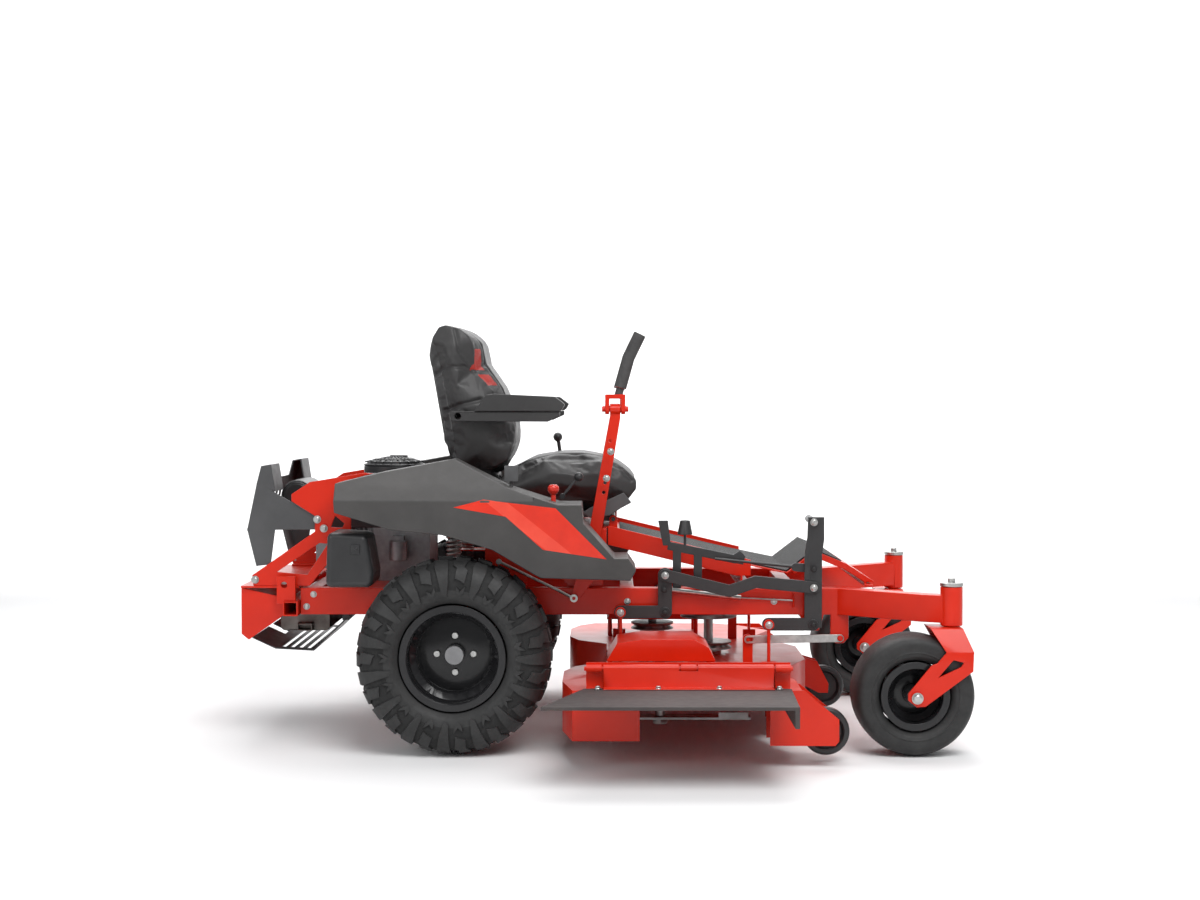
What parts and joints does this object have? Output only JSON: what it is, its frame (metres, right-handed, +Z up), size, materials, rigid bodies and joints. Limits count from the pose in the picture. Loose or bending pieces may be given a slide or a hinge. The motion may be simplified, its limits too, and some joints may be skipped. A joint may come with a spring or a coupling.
{
  "type": "zero turn mower",
  "caption": "Ride-on zero turn mower with a rear engine, lap bars, front casters, a suspended seat and a lifting side discharge deck.",
  "frame": {"origin": "bottom centre of the whole machine's box, on the ground", "axes": "+X forward, +Y to the operator's left, +Z up"},
  "size_m": [2.061, 1.867, 1.196],
  "materials": {
    "red_paint": "gloss powder coat",
    "black_paint": "satin powder coat",
    "grey_paint": "satin powder coat",
    "grey_plastic": "fine moulded grain",
    "black_plastic": "moulded",
    "zinc": "zinc plated",
    "cast": "cast",
    "muffler_steel": "heat dulled",
    "tyre": "rubber",
    "rim": "gloss black",
    "vinyl": "grained vinyl",
    "chute_rubber": "dull"
  },
  "bodies": {
    "chassis": {"frame_rail_right": "red_paint", "frame_rail_left": "red_paint", "frame_crossmembers": "red_paint", "floor_pan": "red_paint", "seat_platform": "red_paint", "seat_springs": "zinc", "rear_bumper": "red_paint", "guard_uprights": "red_paint", "engine_guard": "grey_paint", "fender_right": "grey_plastic", "fender_left": "grey_plastic", "fuel_tanks": "black_plastic", "engine_block": "cast", "engine_shroud": "black_plastic", "muffler": "muffler_steel", "muffler_guard": "black_paint", "transaxles": "cast", "height_bracket": "black_paint", "lift_spring": "zinc"},
    "crankshaft": {"engine_crankshaft": "zinc"},
    "cap": {"fuel_cap": "black_plastic"},
    "seat": {"seat_base": "black_paint", "seat_cushion": "vinyl", "seat_back": "vinyl"},
    "front_crank": {"lift_crank_front": "black_paint"},
    "rear_crank": {"lift_crank_rear": "black_paint"},
    "link": {"lift_link": "black_paint"},
    "stop_rod": {"height_rod": "black_paint"},
    "drag": {"drag_links": "zinc"},
    "deck": {"deck_shell": "red_paint", "belt_covers": "red_paint"},
    "chute": {"discharge_chute": "chute_rubber"},
    "knob": {"pto_knob": "red_paint"},
    "key": {"ignition_key": "zinc"},
    "throttle": {"throttle_lever": "zinc"},
    "brake": {"brake_lever": "black_paint"},
    "rear_right": {"rear_tyre_right": "tyre", "rear_wheel_right": "rim"},
    "caster_right": {"caster_fork_right": "red_paint"},
    "front_right": {"front_tyre_right": "tyre", "front_wheel_right": "rim"},
    "arm_right": {"control_arm_right": "red_paint"},
    "bar_right": {"lap_bar_right": "red_paint"},
    "rod_right": {"control_rod_right": "zinc"},
    "rest_right": {"armrest_right": "vinyl"},
    "rear_left": {"rear_tyre_left": "tyre", "rear_wheel_left": "rim"},
    "caster_left": {"caster_fork_left": "red_paint"},
    "front_left": {"front_tyre_left": "tyre", "front_wheel_left": "rim"},
    "arm_left": {"control_arm_left": "red_paint"},
    "bar_left": {"lap_bar_left": "red_paint"},
    "rod_left": {"control_rod_left": "zinc"},
    "rest_left": {"armrest_left": "vinyl"},
    "spindle_right": {"blade_right": "zinc"},
    "spindle_centre": {"blade_centre": "zinc"},
    "spindle_left": {"blade_left": "zinc"},
    "scalp_right": {"scalp_wheel_right": "black_plastic"},
    "scalp_centre": {"scalp_wheel_centre": "black_plastic"},
    "scalp_left": {"scalp_wheel_left": "black_plastic"}
  },
  "joints": [
    {"name": "rear_right_spin", "type": "hinge", "parent": "chassis", "child": "rear_right", "pos_m": [-0.4, -0.334, 0.272], "axis": [0, 1, 0], "continuous": true},
    {"name": "caster_right_swivel", "type": "hinge", "parent": "chassis", "child": "caster_right", "pos_m": [0.974, -0.365, 0.4], "axis": [0, 0, 1], "continuous": true},
    {"name": "front_right_spin", "type": "hinge", "parent": "caster_right", "child": "front_right", "pos_m": [0.865, -0.365, 0.167], "axis": [0, 1, 0], "continuous": true},
    {"name": "control_right", "type": "hinge", "parent": "chassis", "child": "arm_right", "pos_m": [-0.033, -0.163, 0.479], "axis": [0, 1, 0], "range_deg": [-12, 12]},
    {"name": "lap_right_swing", "type": "hinge", "parent": "arm_right", "child": "bar_right", "pos_m": [0.045, -0.163, 0.951], "axis": [1, 0, 0], "range_deg": [0, 35]},
    {"name": "rod_right_pivot", "type": "hinge", "parent": "arm_right", "child": "rod_right", "pos_m": [-0.073, -0.199, 0.411], "axis": [0, 1, 0], "range_deg": [-12, 12]},
    {"name": "armrest_right_flip", "type": "hinge", "parent": "seat", "child": "rest_right", "pos_m": [-0.41, -0.095, 0.93], "axis": [0, -1, 0], "range_deg": [0, 85]},
    {"name": "rear_left_spin", "type": "hinge", "parent": "chassis", "child": "rear_left", "pos_m": [-0.4, 0.676, 0.272], "axis": [0, 1, 0], "continuous": true},
    {"name": "caster_left_swivel", "type": "hinge", "parent": "chassis", "child": "caster_left", "pos_m": [0.974, 0.707, 0.4], "axis": [0, 0, 1], "continuous": true},
    {"name": "front_left_spin", "type": "hinge", "parent": "caster_left", "child": "front_left", "pos_m": [0.865, 0.707, 0.167], "axis": [0, 1, 0], "continuous": true},
    {"name": "control_left", "type": "hinge", "parent": "chassis", "child": "arm_left", "pos_m": [-0.033, 0.505, 0.479], "axis": [0, 1, 0], "range_deg": [-12, 12]},
    {"name": "lap_left_swing", "type": "hinge", "parent": "arm_left", "child": "bar_left", "pos_m": [0.045, 0.505, 0.951], "axis": [-1, 0, 0], "range_deg": [0, 35]},
    {"name": "rod_left_pivot", "type": "hinge", "parent": "arm_left", "child": "rod_left", "pos_m": [-0.073, 0.541, 0.411], "axis": [0, 1, 0], "range_deg": [-12, 12]},
    {"name": "armrest_left_flip", "type": "hinge", "parent": "seat", "child": "rest_left", "pos_m": [-0.41, 0.437, 0.93], "axis": [0, -1, 0], "range_deg": [0, 85]},
    {"name": "seat_tilt", "type": "hinge", "parent": "chassis", "child": "seat", "pos_m": [0.04, 0.171, 0.628], "axis": [0, 1, 0], "range_deg": [0, 40]},
    {"name": "engine_spin", "type": "hinge", "parent": "chassis", "child": "crankshaft", "pos_m": [-0.626, 0.171, 0.5], "axis": [0, 0, 1], "continuous": true},
    {"name": "fuel_cap_turn", "type": "hinge", "parent": "chassis", "child": "cap", "pos_m": [-0.665, 0.641, 0.77], "axis": [0, 0, 1], "range_deg": [0, 120]},
    {"name": "deck_lift", "type": "hinge", "parent": "chassis", "child": "front_crank", "pos_m": [0.609, 0.171, 0.338], "axis": [0, 1, 0], "range_deg": [0, 25]},
    {"name": "rear_crank_turn", "type": "hinge", "parent": "chassis", "child": "rear_crank", "pos_m": [0.187, 0.171, 0.373], "axis": [0, 1, 0], "range_deg": [0, 25]},
    {"name": "link_pivot", "type": "hinge", "parent": "front_crank", "child": "link", "pos_m": [0.609, -0.216, 0.444], "axis": [0, 1, 0], "range_deg": [-25, 0]},
    {"name": "stop_rod_pivot", "type": "hinge", "parent": "front_crank", "child": "stop_rod", "pos_m": [0.609, -0.191, 0.496], "axis": [0, 1, 0], "range_deg": [-25, 0]},
    {"name": "deck_hang", "type": "hinge", "parent": "front_crank", "child": "deck", "pos_m": [0.482, 0.171, 0.338], "axis": [0, 1, 0], "range_deg": [-25, 0]},
    {"name": "drag_pivot", "type": "hinge", "parent": "chassis", "child": "drag", "pos_m": [0.688, 0.171, 0.296], "axis": [0, 1, 0], "range_deg": [0, 12]},
    {"name": "chute_lift", "type": "hinge", "parent": "deck", "child": "chute", "pos_m": [0.235, -0.609, 0.268], "axis": [-1, 0, 0], "range_deg": [0, 80]},
    {"name": "blade_right_spin", "type": "hinge", "parent": "deck", "child": "spindle_right", "pos_m": [0.17, -0.324, 0.15], "axis": [0, 0, 1], "continuous": true},
    {"name": "blade_centre_spin", "type": "hinge", "parent": "deck", "child": "spindle_centre", "pos_m": [0.33, 0.171, 0.15], "axis": [0, 0, 1], "continuous": true},
    {"name": "blade_left_spin", "type": "hinge", "parent": "deck", "child": "spindle_left", "pos_m": [0.17, 0.666, 0.15], "axis": [0, 0, 1], "continuous": true},
    {"name": "scalp_right_spin", "type": "hinge", "parent": "deck", "child": "scalp_right", "pos_m": [0.612, -0.493, 0.084], "axis": [0, 1, 0], "continuous": true},
    {"name": "scalp_centre_spin", "type": "hinge", "parent": "deck", "child": "scalp_centre", "pos_m": [0.69, 0.279, 0.09], "axis": [0, 1, 0], "continuous": true},
    {"name": "scalp_left_spin", "type": "hinge", "parent": "deck", "child": "scalp_left", "pos_m": [0.612, 0.835, 0.084], "axis": [0, 1, 0], "continuous": true},
    {"name": "pto_pull", "type": "slide", "parent": "chassis", "child": "knob", "axis": [0, 0, 1], "range_m": [0, 0.015]},
    {"name": "key_turn", "type": "hinge", "parent": "chassis", "child": "key", "pos_m": [-0.248, -0.259, 0.74], "axis": [0, 0, 1], "range_deg": [0, 90]},
    {"name": "throttle_tilt", "type": "hinge", "parent": "chassis", "child": "throttle", "pos_m": [-0.104, -0.261, 0.706], "axis": [0, 1, 0], "range_deg": [-20, 30]},
    {"name": "brake_tilt", "type": "hinge", "parent": "chassis", "child": "brake", "pos_m": [-0.12, 0.621, 0.712], "axis": [0, 1, 0], "range_deg": [0, 40]}
  ],
  "couplings": [
    {"joint": "rod_right_pivot", "follows": "control_right", "ratio": -1},
    {"joint": "rod_left_pivot", "follows": "control_left", "ratio": -1},
    {"joint": "rear_crank_turn", "follows": "deck_lift", "ratio": 1},
    {"joint": "link_pivot", "follows": "deck_lift", "ratio": -1},
    {"joint": "stop_rod_pivot", "follows": "deck_lift", "ratio": -1},
    {"joint": "deck_hang", "follows": "deck_lift", "ratio": -1},
    {"joint": "drag_pivot", "follows": "deck_lift", "ratio": 0.472},
    {"joint": "blade_centre_spin", "follows": "blade_right_spin", "ratio": 1},
    {"joint": "blade_left_spin", "follows": "blade_right_spin", "ratio": 1}
  ]
}
